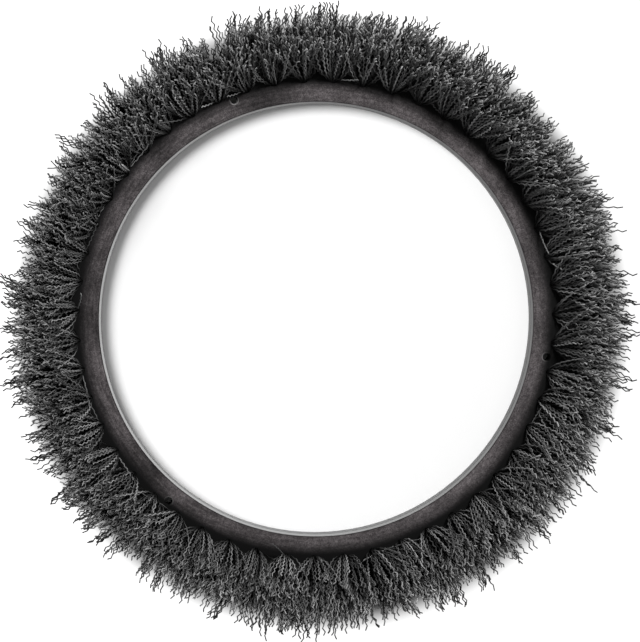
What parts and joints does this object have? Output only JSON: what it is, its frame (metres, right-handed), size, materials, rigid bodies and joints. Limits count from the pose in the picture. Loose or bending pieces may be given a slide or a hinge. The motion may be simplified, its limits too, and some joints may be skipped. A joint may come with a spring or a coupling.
{
  "type": "wheel washing brush ring",
  "caption": "Flat plastic ring with a wide open bore, whose front face carries staggered rows of crimped filament tufts that lean outwards, for scrubbing car wheels.",
  "frame": {"origin": "centre of the bore on the flat back face, which is also the centre of the bolt circle", "axes": "+Z along the ring's axis, out of the bristled face; the part lies on its back; +X and +Y are the picture's right and up"},
  "size_m": [0.5541, 0.5556, 0.0793],
  "materials": {
    "ring_plastic": "turned black polypropylene plate, satin",
    "filament": "extruded and crimped dark grey filament, satin",
    "anchor_wire": "flat drawn steel wire"
  },
  "bodies": {
    "root": {"ring_body": "ring_plastic", "inner_anchors": "anchor_wire", "middle_anchors": "anchor_wire", "outer_anchors": "anchor_wire", "inner_tufts_01": "filament", "inner_tufts_02": "filament", "inner_tufts_03": "filament", "inner_tufts_04": "filament", "inner_tufts_05": "filament", "inner_tufts_06": "filament", "inner_tufts_07": "filament", "inner_tufts_08": "filament", "inner_tufts_09": "filament", "inner_tufts_10": "filament", "inner_tufts_11": "filament", "inner_tufts_12": "filament", "inner_tufts_13": "filament", "inner_tufts_14": "filament", "inner_tufts_15": "filament", "inner_tufts_16": "filament", "inner_tufts_17": "filament", "middle_tufts_01": "filament", "middle_tufts_02": "filament", "middle_tufts_03": "filament", "middle_tufts_04": "filament", "middle_tufts_05": "filament", "middle_tufts_06": "filament", "middle_tufts_07": "filament", "middle_tufts_08": "filament", "middle_tufts_09": "filament", "middle_tufts_10": "filament", "middle_tufts_11": "filament", "middle_tufts_12": "filament", "middle_tufts_13": "filament", "middle_tufts_14": "filament", "middle_tufts_15": "filament", "middle_tufts_16": "filament", "middle_tufts_17": "filament", "outer_tufts_01": "filament", "outer_tufts_02": "filament", "outer_tufts_03": "filament", "outer_tufts_04": "filament", "outer_tufts_05": "filament", "outer_tufts_06": "filament", "outer_tufts_07": "filament", "outer_tufts_08": "filament", "outer_tufts_09": "filament", "outer_tufts_10": "filament", "outer_tufts_11": "filament", "outer_tufts_12": "filament", "outer_tufts_13": "filament", "outer_tufts_14": "filament", "outer_tufts_15": "filament", "outer_tufts_16": "filament", "outer_tufts_17": "filament"}
  },
  "joints": []
}
